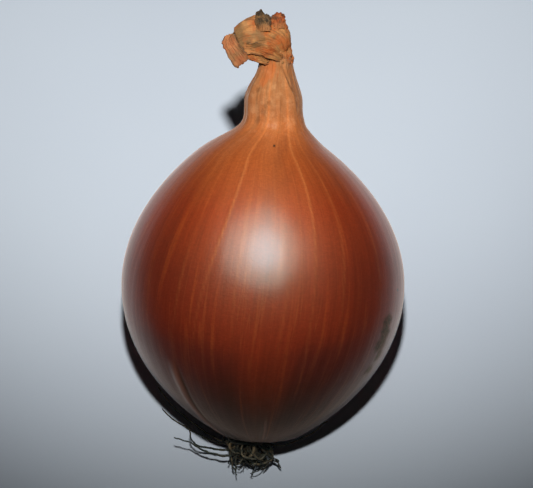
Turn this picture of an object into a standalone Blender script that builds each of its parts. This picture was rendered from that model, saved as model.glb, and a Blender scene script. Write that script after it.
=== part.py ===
"""A dried globe onion lying on a table: the bulb with its neck, the withered leaf ends
folded over on top of the neck, and the tuft of roots under the bulb.

The onion is modelled upright in its own frame, with z along its axis from the root to the
neck, x to its right and y to its back, and the origin in the middle of the widest ring. An
empty then tips it over, so that it lies on a small flat spot with its neck raised.
"""

import math
import random

import bmesh
import bpy
from mathutils import Euler, Quaternion, Vector, noise

MM = 0.001

# How the onion lies: the neck points this far above the table, towards +Y
AXIS_RISE = math.radians(43.0)
CENTRE_HEIGHT = 35.55 * MM
# The middle of the flat spot is this far nearer than the point under the widest ring's middle
FLAT_NEARER = 0.85 * MM

# Bulb: the radius is (1 - (distance / reach) ** 2) ** fullness of the widest. Lumps and the shallow
# ridges from root to neck are (turns round the bulb, turn in radians, share of the radius).
BULB_RADIUS = 35.1 * MM
UPPER_REACH, UPPER_FULLNESS = 42.3 * MM, 0.77
LOWER_REACH, LOWER_FULLNESS = 41.8 * MM, 0.73
ROOT_END = -38.0 * MM
ROOT_END_ROUNDING = 1.2 * MM
BULB_SEGMENTS, BULB_RINGS = 72, 50
LUMPS = ((2, 0.6, 0.004), (3, 1.0, 0.004))
RIDGES = ((9, 1.0, 0.003), (13, 0.4, 0.0025))
# The side that the onion lies on is a little fuller, which holds its balance
BELLY = 1.5 * MM
BELLY_PLACE, BELLY_LENGTH, BELLY_SPREAD = -17.0 * MM, 10.0 * MM, 0.42

# Neck
NECK_RADIUS = 6.85 * MM
MOUTH_RADIUS = 3.9 * MM
NECK_FOOT, NECK_MOUTH = 46.0 * MM, 55.0 * MM
NECK_CLOSE = 56.5 * MM
NECK_BLEND = 3.6 * MM
NECK_SIDE, MOUTH_SIDE = 2.7 * MM, 0.5 * MM
NECK_FORWARD = 3.6 * MM
PLEAT_DEPTH = 0.03

# Withered leaf ends
GAP = 0.3 * MM
BLADE_THICKNESS = 0.7 * MM
BUNDLE_SEGMENTS, BUNDLE_RINGS = 26, 14

# Roots
PLATE_RADIUS, PLATE_HEIGHT = 5.4 * MM, 1.4 * MM
PLATE_SIDE = -3.6 * MM
ROOT_RADIUS = 0.32 * MM
ROOT_COUNT = 34
ROOT_STEP = 1.6 * MM
ROOT_CLEARANCE = 0.9 * MM
# The roots curl back to the middle of the tuft: (right, front, up) in the onion's own frame
TUFT_MIDDLE = (-2.4, 1.0, -43.4)
TUFT_PULL = 0.11 / MM
SEED = 11

SKIN_COLOUR = (0.36, 0.075, 0.018, 1.0)
LEAF_COLOUR = (0.46, 0.23, 0.10, 1.0)
ROOT_COLOUR = (0.24, 0.17, 0.09, 1.0)


def clear_scene():
    for obj in list(bpy.data.objects):
        bpy.data.objects.remove(obj, do_unlink=True)


def collection(name):
    made = bpy.data.collections.new(name)
    bpy.context.scene.collection.children.link(made)
    return made


def material(name, colour, roughness):
    made = bpy.data.materials.new(name)
    made.use_nodes = True
    shader = made.node_tree.nodes["Principled BSDF"]
    shader.inputs["Base Color"].default_value = colour
    shader.inputs["Roughness"].default_value = roughness
    shader.inputs["Metallic"].default_value = 0.0
    made.diffuse_color = colour
    return made


def smoothstep(low, high, value):
    share = min(1.0, max(0.0, (value - low) / (high - low)))
    return share * share * (3 - 2 * share)


def mix(low, high, share):
    return low + (high - low) * share


def curve_point(points, share):
    """The point at a share, from 0 to 1, of a smooth curve through points of any length."""
    place = share * (len(points) - 1)
    index = min(int(place), len(points) - 2)
    t = place - index
    before = points[max(index - 1, 0)]
    start, end = points[index], points[index + 1]
    after = points[min(index + 2, len(points) - 1)]
    made = []
    for p0, p1, p2, p3 in zip(before, start, end, after):
        slope_in, slope_out = (p2 - p0) / 2, (p3 - p1) / 2
        bend = 3 * (p2 - p1) - 2 * slope_in - slope_out
        twist = 2 * (p1 - p2) + slope_in + slope_out
        made.append(p1 + t * (slope_in + t * (bend + t * twist)))
    return made


# The bulb and its neck

def body_radius(height):
    """The plain radius of the bulb and neck at a height on the axis."""
    reach, fullness = (UPPER_REACH, UPPER_FULLNESS) if height >= 0 else (LOWER_REACH, LOWER_FULLNESS)
    inside = 1 - (height / reach) ** 2
    globe = BULB_RADIUS * math.copysign(abs(inside) ** fullness, inside)
    above = smoothstep(-20 * MM, 20 * MM, height)
    neck = above * mix(NECK_RADIUS, MOUTH_RADIUS, smoothstep(NECK_FOOT, NECK_CLOSE, height))
    return (globe + neck + math.hypot(globe - neck, NECK_BLEND * above)) / 2


def body_centre(height):
    """Where the middle of the ring at a height stands: the neck is off centre and leans forward."""
    side = NECK_SIDE * smoothstep(34 * MM, 42 * MM, height)
    side += MOUTH_SIDE * smoothstep(49 * MM, NECK_MOUTH, height)
    up_neck = max(0.0, (height - 38 * MM) / (NECK_MOUTH - 38 * MM))
    return Vector((side, -NECK_FORWARD * up_neck**1.4, height))


def body_point(height, angle, share=1.0):
    """A point of the skin, lumpy round the bulb and pleated up the neck."""
    neckness = smoothstep(33 * MM, 46 * MM, height)
    uneven = sum(size * math.cos(turns * angle + turn) for turns, turn, size in LUMPS + RIDGES)
    pleats = math.sin(7 * angle + 0.5) + 0.6 * math.sin(11 * angle + 2.0 + 60 * height)
    wide = 1 + uneven + PLEAT_DEPTH * neckness * pleats * share
    to_table = math.remainder(angle - math.pi / 2, math.tau) / BELLY_SPREAD
    belly = BELLY * math.exp(-(((height - BELLY_PLACE) / BELLY_LENGTH) ** 2) - to_table**2)
    reach = (body_radius(height) * wide + belly) * share
    flatten = mix(1.0, 0.9, neckness)
    ring = Vector((math.cos(angle) * reach, math.sin(angle) * reach * flatten, 0))
    return body_centre(height) + ring


def bulb_stations():
    """(height, share of the radius) of each ring, from the mouth of the neck to the root end."""
    steps = 400
    heights = [mix(NECK_MOUTH, ROOT_END, i / steps) for i in range(steps + 1)]
    lengths = [0.0]
    for high, low in zip(heights, heights[1:]):
        run = math.hypot(high - low, body_radius(high) - body_radius(low))
        finer = 1 + 0.9 * smoothstep(30 * MM, 40 * MM, high)
        lengths.append(lengths[-1] + run * finer)
    sides = BULB_RINGS - 4
    stations = [(NECK_MOUTH, 0.0), (NECK_MOUTH, 0.6)]
    place = 0
    for i in range(sides):
        wanted = lengths[-1] * i / (sides - 1)
        while place < steps and lengths[place] < wanted:
            place += 1
        stations.append((heights[place], 1.0))
    stations.append((ROOT_END - ROOT_END_ROUNDING * 0.4, 0.86))
    stations.append((ROOT_END - ROOT_END_ROUNDING * 0.5, 0.4))
    stations.append((ROOT_END - ROOT_END_ROUNDING * 0.5, 0.0))
    return stations


def sphere_object(name, segments, rings, place):
    """A UV sphere whose points are moved: place(ring number, angle) gives each one's new spot."""
    sphere = bmesh.new()
    bmesh.ops.create_uvsphere(sphere, u_segments=segments, v_segments=rings, radius=1.0)
    for vertex in sphere.verts:
        ring = round(math.acos(max(-1.0, min(1.0, vertex.co.z))) / math.pi * rings)
        vertex.co = place(ring, math.atan2(vertex.co.y, vertex.co.x))
    bmesh.ops.recalc_face_normals(sphere, faces=sphere.faces)
    mesh = bpy.data.meshes.new(name)
    sphere.to_mesh(mesh)
    sphere.free()
    mesh.shade_smooth()
    mesh.set_sharp_from_angle(angle=math.radians(50))
    return bpy.data.objects.new(name, mesh)


def make_bulb(pose, parts, cutters):
    stations = bulb_stations()
    bulb = sphere_object(
        "bulb", BULB_SEGMENTS, len(stations) - 1,
        lambda ring, angle: body_point(stations[ring][0], angle, stations[ring][1]),
    )
    bulb.data.materials.append(material("onion_skin", SKIN_COLOUR, 0.4))
    bulb.parent = pose
    parts.objects.link(bulb)

    table = bpy.data.meshes.new("table_cutter")
    box = bmesh.new()
    bmesh.ops.create_cube(box, size=1.0)
    bmesh.ops.scale(box, vec=(80 * MM, 80 * MM, 20 * MM), verts=box.verts)
    box.to_mesh(table)
    box.free()
    cutter = bpy.data.objects.new("table_cutter", table)
    cutter.location = (0, 0, -10 * MM)
    cutter.hide_render = True
    cutter.display_type = "WIRE"
    cutters.objects.link(cutter)
    cut = bulb.modifiers.new("rest_spot", "BOOLEAN")
    cut.operation = "DIFFERENCE"
    cut.object = cutter


# The withered leaf ends on the neck

# The bundle of leaf ends: a stub that rises from the neck, and an arm folded over to the left in
# front of it. Each row is (right, front, up, half width, half thickness) in millimetres.
BUNDLE_SPINES = {
    "dry_leaves": [
        (3.2, 3.6, 55.5, 4.3, 3.7),
        (3.2, 3.6, 58.2, 3.9, 3.4),
        (2.5, 4.2, 62.6, 3.6, 2.4),
        (2.4, 4.9, 66.4, 2.8, 1.3),
    ],
    "folded_arm": [
        (4.9, 4.8, 58.7, 2.3, 1.4),
        (2.9, 6.6, 61.2, 4.2, 2.0),
        (-0.4, 7.7, 62.3, 4.7, 2.1),
        (-3.7, 8.2, 62.2, 4.3, 1.7),
        (-5.9, 7.8, 61.4, 3.0, 1.1),
    ],
}

# Leaf blades: spine points (right, front, up) in millimetres, half widths, the way across and how
# far the tip is torn.
BLADES = {
    "flag": (
        [(-7.2, 7.8, 63.2), (-8.0, 8.8, 61.6), (-6.5, 9.6, 58.9), (-4.5, 9.8, 56.3)],
        [1.5, 1.8, 2.0, 1.9], (0.84, 0.1, 0.54), 0.3,
    ),
    "crease_lip": (
        [(-4.0, 9.5, 60.1), (-1.2, 10.0, 59.8), (1.8, 9.3, 58.8), (4.6, 7.2, 57.1)],
        [1.3, 1.5, 1.4, 1.0], (0.3, 0.35, 1.0), 0.6,
    ),
    "right_sheath": (
        [(5.4, 4.2, 57.2), (5.1, 4.6, 61.0), (4.4, 5.4, 65.0), (3.9, 5.8, 67.4)],
        [2.0, 2.2, 2.0, 1.5], (0.55, 0.8, 0.1), 0.9,
    ),
    "top_tongue": (
        [(0.2, 10.3, 64.0), (0.2, 10.2, 65.6), (0.1, 9.2, 67.2), (0.0, 8.2, 68.2)],
        [1.6, 1.8, 1.8, 1.5], (1.0, 0.1, 0.0), 0.6,
    ),
    "top_scrap": (
        [(3.7, 8.0, 64.4), (3.7, 7.7, 65.8), (3.8, 7.1, 67.0), (3.8, 6.3, 68.0)],
        [1.5, 1.6, 1.6, 1.5], (1.0, -0.2, 0.1), 0.4,
    ),
    "back_sheath": (
        [(1.6, 2.6, 57.2), (1.4, 2.6, 60.4), (0.6, 3.2, 64.0), (-0.4, 4.4, 66.8)],
        [4.0, 4.2, 3.6, 2.2], (1.0, -0.1, 0.0), 1.4,
    ),
}


def leaf_frame(right, front, up):
    """A point given in millimetres to the right, front and up, in the onion's own frame."""
    return Vector((right, -front, up)) * MM


def bundle_point(spine, ring, angle):
    """A point of a flattened, rumpled tube round a spine, closed by a dome at each end."""
    end = min(ring, BUNDLE_RINGS - ring)
    cap = (0.0, 0.75)[end] if end < 2 else 1.0
    along = min(1.0, max(0.0, (ring - 1.0) / (BUNDLE_RINGS - 2)))
    spot = curve_point(spine, along)
    heading = leaf_frame(*curve_point(spine, min(1.0, along + 0.04))[:3])
    heading -= leaf_frame(*curve_point(spine, max(0.0, along - 0.04))[:3])
    heading.normalize()
    across = Vector((0, -1, 0)).cross(heading).normalized()
    outward = heading.cross(across).normalized()
    rumple = noise.noise(Vector((math.cos(angle) * 1.4, math.sin(angle) * 1.4, along * 4)))
    wide = (1 + 0.2 * rumple * smoothstep(0.0, 0.3, along)) * cap
    ring_centre = leaf_frame(*spot[:3])
    if ring in (0, BUNDLE_RINGS):
        ring_centre += heading * (-0.2 if ring == 0 else 0.4) * MM
    ring_centre += across * math.cos(angle) * spot[3] * MM * wide
    return ring_centre + outward * math.sin(angle) * spot[4] * MM * wide


def make_blade(name, spine, half_widths, across, ragged_mm, group):
    """A withered leaf end: a strip along its spine, cupped and rumpled, with a torn tip."""
    columns, rows = 5, 8
    rng = random.Random(name)
    torn = [rng.uniform(-1, 1) for _ in range(columns + 1)]
    strip = bmesh.new()
    bmesh.ops.create_grid(strip, x_segments=columns, y_segments=rows, size=1.0)
    across = Vector((across[0], -across[1], across[2])).normalized()
    for vertex in strip.verts:
        column = round((vertex.co.x + 1) / 2 * columns)
        side, along = vertex.co.x, (vertex.co.y + 1) / 2
        tip = smoothstep(0.7, 1.0, along) * torn[column] * ragged_mm * MM
        spot = leaf_frame(*curve_point(spine, along))
        ahead = leaf_frame(*curve_point(spine, min(1.0, along + 0.05)))
        behind = leaf_frame(*curve_point(spine, max(0.0, along - 0.05)))
        heading = (ahead - behind).normalized()
        outward = across.cross(heading).normalized()
        width = curve_point([(w,) for w in half_widths], along)[0] * MM
        wave = min(0.25 * MM, 0.12 * width)
        cup = -0.22 * width * side * side + wave * math.sin(9 * along + 3 * side)
        vertex.co = spot + across * side * width + outward * cup + heading * tip
    bmesh.ops.recalc_face_normals(strip, faces=strip.faces)
    mesh = bpy.data.meshes.new(name)
    strip.to_mesh(mesh)
    strip.free()
    blade = bpy.data.objects.new(name, mesh)
    thicken = blade.modifiers.new("thickness", "SOLIDIFY")
    thicken.thickness = BLADE_THICKNESS
    thicken.offset = 0.0
    group.objects.link(blade)


def fuse(base, group):
    """Joins a collection's objects into base with one Boolean union and removes them."""
    join = base.modifiers.new("fuse", "BOOLEAN")
    join.operation = "UNION"
    join.operand_type = "COLLECTION"
    join.collection = group
    bpy.context.view_layer.update()
    graph = bpy.context.evaluated_depsgraph_get()
    fused = bpy.data.meshes.new_from_object(base.evaluated_get(graph))
    base.modifiers.clear()
    old = base.data
    base.data = fused
    bpy.data.meshes.remove(old)
    for obj in list(group.objects):
        bpy.data.objects.remove(obj, do_unlink=True)
    bpy.data.collections.remove(group)
    fused.name = base.name
    fused.shade_smooth()
    fused.set_sharp_from_angle(angle=math.radians(50))


def make_leaves(pose, parts):
    stub, arm = (
        sphere_object(
            name, BUNDLE_SEGMENTS, BUNDLE_RINGS,
            lambda ring, angle, spine=spine: bundle_point(spine, ring, angle),
        )
        for name, spine in BUNDLE_SPINES.items()
    )
    parts.objects.link(stub)
    group = collection("leaf_blades")
    group.objects.link(arm)
    for name, (spine, half_widths, across, ragged_mm) in BLADES.items():
        make_blade(name, spine, half_widths, across, ragged_mm, group)
    fuse(stub, group)
    stub.data.materials.clear()
    stub.data.materials.append(material("dry_leaf", LEAF_COLOUR, 0.8))
    stub.parent = pose


# The roots

# Roots that lie apart from the tuft: points (right, front, up) in millimetres in the onion's frame.
LONG_ROOTS = [
    [(-4, 1, -40.3), (-7.4, 1.6, -43.4), (-11, 2, -43.4), (-15.3, 2, -42),
     (-18, 2, -40.2), (-22.2, 2, -38.8)],
    [(-4, 0, -40.3), (-8, 0.5, -42.4), (-13.6, 0.5, -42), (-17.6, 1, -40.4), (-18.4, 1.5, -36.8)],
    [(-3, 2, -40.3), (-6, 1, -43.5), (-7.6, 0, -45), (-6.4, -0.5, -46.6),
     (-4, 0, -45.4), (-2.2, 0.5, -44.4)],
    [(-1.4, 2, -40.3), (1, 2, -43), (3.4, 1, -45), (4.6, 0, -47.4)],
    [(-1, 0, -40.3), (2.4, 1, -43.2), (1.2, 1.5, -46), (0.2, 1, -47.6)],
    [(-1, 1, -40.4), (5, 2, -40.9), (10.9, 2, -38.6), (13.6, 2, -37), (15.8, 2, -34.6)],
    [(-5, -1, -40.4), (-10, -4, -42), (-15, -8, -41.6), (-18.6, -10.2, -40.2),
     (-23.2, -12.3, -38), (-26.1, -14.5, -35.6)],
    [(-5, -2, -40.4), (-10, -6, -42), (-14.5, -10, -41), (-18.6, -12.3, -38.6),
     (-23.4, -14.9, -35.1), (-27.5, -18.8, -31)],
]


def plate_centre():
    """The middle of the knob that the roots grow from, to the left on the root end."""
    down = ROOT_END - ROOT_END_ROUNDING * 0.5 - GAP - PLATE_HEIGHT / 2
    return Vector((PLATE_SIDE, 0, down))


def clear_of_bulb(point, to_onion, to_world):
    """Moves a point away from the bulb where it would come too near the skin."""
    local = to_onion @ point
    lowest = ROOT_END - ROOT_END_ROUNDING * 0.5 - ROOT_CLEARANCE
    if local.z < lowest:
        return point
    centre = body_centre(local.z)
    out = Vector((local.x - centre.x, local.y - centre.y, 0))
    least = body_radius(max(local.z, ROOT_END)) * 1.03 + ROOT_CLEARANCE
    if out.length < least and local.z < ROOT_END + 1.5 * MM:
        local.z = lowest
    elif out.length < least:
        out = out.normalized() * least
        local = Vector((centre.x + out.x, centre.y + out.y, local.z))
    return to_world @ local


def wild_root(rng, to_world, to_onion):
    """A root that starts on the plate and curls about in the tuft, above the table."""
    around, off = rng.uniform(0, math.tau), PLATE_RADIUS * 0.8 * math.sqrt(rng.random())
    foot = plate_centre() + Vector((math.cos(around) * off, math.sin(around) * off, 0))
    lean = Vector((math.cos(around), math.sin(around), 0)) * (off / PLATE_RADIUS)
    heading = to_world.to_3x3() @ (Vector((0, 0, -1)) + lean * 1.3)
    heading = (heading + Vector((0, 0.3, -0.3))).normalized()
    point = to_world @ foot
    points = [point.copy(), point + heading * 1.8 * MM]
    point = points[-1].copy()
    middle = to_world @ leaf_frame(*TUFT_MIDDLE)
    axis = Vector([rng.uniform(-1, 1) for _ in range(3)]).normalized()
    curl = Quaternion(axis, rng.uniform(0.2, 0.8))
    for step in range(rng.randint(3, 7)):
        swirl = Vector([rng.uniform(-1, 1) for _ in range(3)]) * 0.35
        heading = (curl @ heading + swirl + (middle - point) * TUFT_PULL).normalized()
        point = clear_of_bulb(point + heading * ROOT_STEP, to_onion, to_world)
        if point.z < ROOT_RADIUS * 1.2:
            point.z = ROOT_RADIUS * 1.2
            heading.z = max(0.0, heading.z)
        points.append(point.copy())
    return points


def root_object(name, points, radius, group):
    """A root as a round wire through its points, thinner towards its tip, made into a mesh."""
    curve = bpy.data.curves.new(name, "CURVE")
    curve.dimensions = "3D"
    curve.bevel_depth = radius
    curve.bevel_resolution = 1
    curve.use_fill_caps = True
    spline = curve.splines.new("POLY")
    spline.points.add(len(points) - 1)
    for index, (slot, point) in enumerate(zip(spline.points, points)):
        slot.co = (*point, 1.0)
        slot.radius = mix(1.1, 0.7, index / (len(points) - 1))
    wire = bpy.data.objects.new(name, curve)
    bpy.context.scene.collection.objects.link(wire)
    bpy.context.view_layer.update()
    graph = bpy.context.evaluated_depsgraph_get()
    mesh = bpy.data.meshes.new_from_object(wire.evaluated_get(graph))
    tube = bmesh.new()
    tube.from_mesh(mesh)
    bmesh.ops.remove_doubles(tube, verts=tube.verts, dist=0.00001)
    tube.to_mesh(mesh)
    tube.free()
    bpy.data.objects.remove(wire, do_unlink=True)
    group.objects.link(bpy.data.objects.new(name, mesh))


def plate_point(ring, angle):
    """The flat knob that the roots grow from, just under the root end of the bulb."""
    shape = [(0, 0.5), (0.7, 0.5), (0.95, 0.25), (1, 0), (0.85, -0.35), (0.5, -0.5), (0, -0.5)]
    reach, up = shape[ring]
    radius = PLATE_RADIUS * reach * (1 + 0.05 * math.sin(5 * angle))
    spread = Vector((math.cos(angle) * radius, math.sin(angle) * radius, PLATE_HEIGHT * up))
    return plate_centre() + spread


def make_roots(pose, parts):
    plate = sphere_object("root_tuft", 20, 6, plate_point)
    plate.parent = pose
    parts.objects.link(plate)
    bpy.context.view_layer.update()
    to_world = pose.matrix_world.copy()
    to_onion = to_world.inverted()
    rng = random.Random(SEED)
    group = collection("root_wires")
    for number, route in enumerate(LONG_ROOTS):
        points = []
        for step in range(11):
            spot = to_world @ leaf_frame(*curve_point(route, step / 10))
            spot = clear_of_bulb(spot, to_onion, to_world)
            spot.z = max(spot.z, ROOT_RADIUS * 1.2)
            points.append(spot)
        root_object(f"long_root_{number}", points, ROOT_RADIUS, group)
    for number in range(ROOT_COUNT):
        points = wild_root(rng, to_world, to_onion)
        root_object(f"root_{number}", points, ROOT_RADIUS * rng.uniform(0.85, 1.15), group)
    fuse(plate, group)
    plate.data.materials.clear()
    plate.data.materials.append(material("root", ROOT_COLOUR, 0.85))


def main():
    clear_scene()
    parts = collection("onion")
    cutters = collection("cutters")
    pose = bpy.data.objects.new("onion_pose", None)
    pose.location = (0, FLAT_NEARER, CENTRE_HEIGHT)
    pose.rotation_euler = Euler((AXIS_RISE - math.radians(90), 0, 0))
    parts.objects.link(pose)
    bpy.context.view_layer.update()
    make_bulb(pose, parts, cutters)
    make_leaves(pose, parts)
    make_roots(pose, parts)


main()
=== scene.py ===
"""The looks of a dried globe onion: its papery streaked skin, pleated neck, torn leaf ends and wiry roots.

Shapes are worked out in the onion's own frame, in millimetres: x to its right, y to its back and z
along its axis from the root to the neck, with the origin in the middle of the widest ring. The pose
then tips it over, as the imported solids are.
"""

import math
import random

import bpy
import numpy as np
from mathutils import Matrix, Quaternion, Vector, noise


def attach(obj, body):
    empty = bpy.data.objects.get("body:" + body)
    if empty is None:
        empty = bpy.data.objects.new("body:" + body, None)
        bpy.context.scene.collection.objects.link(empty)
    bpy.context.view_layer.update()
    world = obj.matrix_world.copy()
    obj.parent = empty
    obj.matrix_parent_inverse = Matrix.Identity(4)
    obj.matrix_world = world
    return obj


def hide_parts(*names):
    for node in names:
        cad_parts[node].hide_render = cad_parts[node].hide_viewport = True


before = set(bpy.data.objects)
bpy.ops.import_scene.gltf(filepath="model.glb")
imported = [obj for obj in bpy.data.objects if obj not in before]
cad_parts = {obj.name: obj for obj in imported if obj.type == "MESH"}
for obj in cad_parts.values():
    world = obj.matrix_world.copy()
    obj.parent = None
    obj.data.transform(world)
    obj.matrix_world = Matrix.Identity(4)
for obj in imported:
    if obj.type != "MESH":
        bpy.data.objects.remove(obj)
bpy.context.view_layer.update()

# Pose of the onion, the same as the solids'
AXIS_RISE = math.radians(43.0)
CENTRE_HEIGHT = 35.55
FLAT_NEARER = 0.85

# Bulb and neck, the same as the solids'
BULB_RADIUS = 35.1
UPPER_REACH, UPPER_FULLNESS = 42.3, 0.77
LOWER_REACH, LOWER_FULLNESS = 41.8, 0.73
ROOT_END = -38.0
ROOT_END_ROUNDING = 1.2
LUMPS = ((2, 0.6, 0.004), (3, 1.0, 0.004))
BELLY = 1.5
BELLY_PLACE, BELLY_LENGTH, BELLY_SPREAD = -17.0, 10.0, 0.42
NECK_RADIUS = 6.85
MOUTH_RADIUS = 3.9
NECK_FOOT, NECK_MOUTH = 46.0, 55.0
NECK_CLOSE = 56.5
NECK_BLEND = 3.6
NECK_SIDE, MOUTH_SIDE = 2.7, 0.5
NECK_FORWARD = 3.6
PLEAT_DEPTH = 0.03
# Ribs along the bulb, 0.1 mm lower than the solids', so that the shine stays whole
RIDGES = ((9, 1.0, 0.0012), (13, 0.4, 0.001))

# Camera: it looks down on the onion from the root end's side
CAMERA_RISE = math.radians(57.0)
CAMERA_DISTANCE = 500.0
PIXELS_PER_MM = 4.0
PICTURE_WIDTH, PICTURE_HEIGHT = 533, 488
BULB_PIXEL = (262.5, 285.0)
SENSOR_WIDTH = 36.0

# Lamps: both hang above the camera, by these degrees as seen from the bulb
LAMP_DISTANCE = 0.5
KEY_ABOVE, KEY_POWER, KEY_CONE = 13, 12.9, 47.6
KEY_AIM = (0, 0.17, 0)
SHINE_ABOVE, SHINE_SIDE = 27, 0.01
FILL_POWER, FILL_SIZE = 0.03, 0.6
ROOM_GLOW = 0.004
TABLE_HALF = 3.0

SEED = 5


# Small helpers

def smoothstep(low, high, value):
    share = np.clip((value - low) / (high - low), 0.0, 1.0)
    return share * share * (3 - 2 * share)


def mix(low, high, share):
    return low + (high - low) * share


def pose_matrix():
    """From the onion's frame in millimetres to the world in metres."""
    tip = Matrix.Rotation(AXIS_RISE - math.pi / 2, 4, "X")
    return Matrix.Translation((0, FLAT_NEARER, CENTRE_HEIGHT)) @ tip


POSE = np.array(pose_matrix())


def to_world(points):
    points = np.asarray(points, float)
    return (points @ POSE[:3, :3].T + POSE[:3, 3]) / 1000


def curve_through(points, shares):
    """Rows of points on a smooth curve through points, at shares from 0 to 1."""
    points = np.asarray(points, float)
    place = np.clip(np.asarray(shares, float), 0, 1) * (len(points) - 1)
    index = np.minimum(place.astype(int), len(points) - 2)
    t = (place - index)[:, None]
    p0, p1 = points[np.maximum(index - 1, 0)], points[index]
    p2, p3 = points[index + 1], points[np.minimum(index + 2, len(points) - 1)]
    slope_in, slope_out = (p2 - p0) / 2, (p3 - p1) / 2
    bend = 3 * (p2 - p1) - 2 * slope_in - slope_out
    twist = 2 * (p1 - p2) + slope_in + slope_out
    return p1 + t * (slope_in + t * (bend + t * twist))


def noise_rows(points, scale=1.0):
    """Smooth noise from -1 to 1 at each row of points."""
    return np.array([noise.noise(Vector(p)) for p in np.asarray(points, float) * scale])


def grid_faces(rows, columns, wrap):
    """Quads of a grid of points, closed round when wrap is true."""
    row, column = np.meshgrid(np.arange(rows - 1), np.arange(columns - (not wrap)), indexing="ij")
    following = (column + 1) % columns
    corners = [row * columns + column, row * columns + following]
    corners += [(row + 1) * columns + following, (row + 1) * columns + column]
    return np.stack(corners, -1).reshape(-1, 4).tolist()


def mesh_object(name, points, faces, material, attributes=None):
    """A smooth-shaded piece from points in the onion's frame, with its colour guides as attributes."""
    mesh = bpy.data.meshes.new(name)
    mesh.from_pydata(to_world(points).tolist(), [], faces)
    for key, values in (attributes or {}).items():
        values = np.asarray(values, np.float32)
        kind = "FLOAT_VECTOR" if values.ndim == 2 else "FLOAT"
        field = "vector" if values.ndim == 2 else "value"
        mesh.attributes.new(key, kind, "POINT").data.foreach_set(field, values.ravel())
    mesh.shade_smooth()
    mesh.validate()
    mesh.materials.append(material)
    made = bpy.data.objects.new(name, mesh)
    bpy.context.scene.collection.objects.link(made)
    return made


def ride(piece, slot, *replaced):
    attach(piece, "root")
    if replaced:
        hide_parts(*replaced)


# Materials

class Painter:
    """Builds one material's nodes: each method adds a node and gives back its output."""

    def __init__(self, name):
        self.material = bpy.data.materials.new(name)
        self.material.use_nodes = True
        self.tree = self.material.node_tree
        self.shader = self.tree.nodes["Principled BSDF"]

    def add(self, kind, values=(), **settings):
        node = self.tree.nodes.new(kind)
        for key, value in settings.items():
            setattr(node, key, value)
        for key, value in values:
            self.put(node.inputs[key], value)
        return node

    def put(self, socket, value):
        if isinstance(value, bpy.types.NodeSocket):
            self.tree.links.new(value, socket)
        else:
            socket.default_value = value

    def attribute(self, name, output="Fac"):
        return self.add("ShaderNodeAttribute", attribute_name=name).outputs[output]

    def stretch(self, vector, scale):
        values = [("Vector", vector), ("Scale", scale)]
        return self.add("ShaderNodeMapping", values).outputs["Vector"]

    def noise(self, vector, scale=1.0, detail=3.0, roughness=0.5):
        values = [("Vector", vector), ("Scale", scale), ("Detail", detail), ("Roughness", roughness)]
        return self.add("ShaderNodeTexNoise", values).outputs["Fac"]

    def math(self, operation, first, second=0.0):
        values = [(0, first), (1, second)]
        return self.add("ShaderNodeMath", values, operation=operation).outputs[0]

    def between(self, value, low, high, out_low=0.0, out_high=1.0):
        values = [("Value", value), ("From Min", low), ("From Max", high)]
        values += [("To Min", out_low), ("To Max", out_high)]
        return self.add("ShaderNodeMapRange", values, interpolation_type="SMOOTHSTEP").outputs[0]

    def blend(self, share, low, high, kind="MIX"):
        node = self.add("ShaderNodeMix", data_type="RGBA", blend_type=kind)
        for index, value in ((0, share), (6, low), (7, high)):
            self.put(node.inputs[index], value)
        return node.outputs[2]

    def ramp(self, value, stops):
        node = self.add("ShaderNodeValToRGB", [("Fac", value)])
        elements = node.color_ramp.elements
        while len(elements) < len(stops):
            elements.new(1.0)
        for element, (place, colour) in zip(elements, stops):
            element.position = place
            element.color = colour
        return node.outputs["Color"]

    def bump(self, height, strength, distance_mm, below=None):
        values = [("Height", height), ("Strength", strength), ("Distance", distance_mm / 1000)]
        if below is not None:
            values.append(("Normal", below))
        return self.add("ShaderNodeBump", values).outputs["Normal"]

    def finish(self, **values):
        for key, value in values.items():
            self.put(self.shader.inputs[key.replace("_", " ")], value)
        return self.material


def rgb(red, green, blue):
    """A colour given as it looks on screen, from 0 to 255, as the linear one that nodes take."""
    levels = [c / 255 for c in (red, green, blue)]
    linear = [c / 12.92 if c <= 0.04045 else ((c + 0.055) / 1.055) ** 2.4 for c in levels]
    return (*linear, 1.0)


SKIN_LOW, SKIN_HIGH = -40.0, 58.0


def skin_share(height):
    """Where a height on the axis comes on the skin's colour ramp."""
    return (height - SKIN_LOW) / (SKIN_HIGH - SKIN_LOW)


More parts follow.
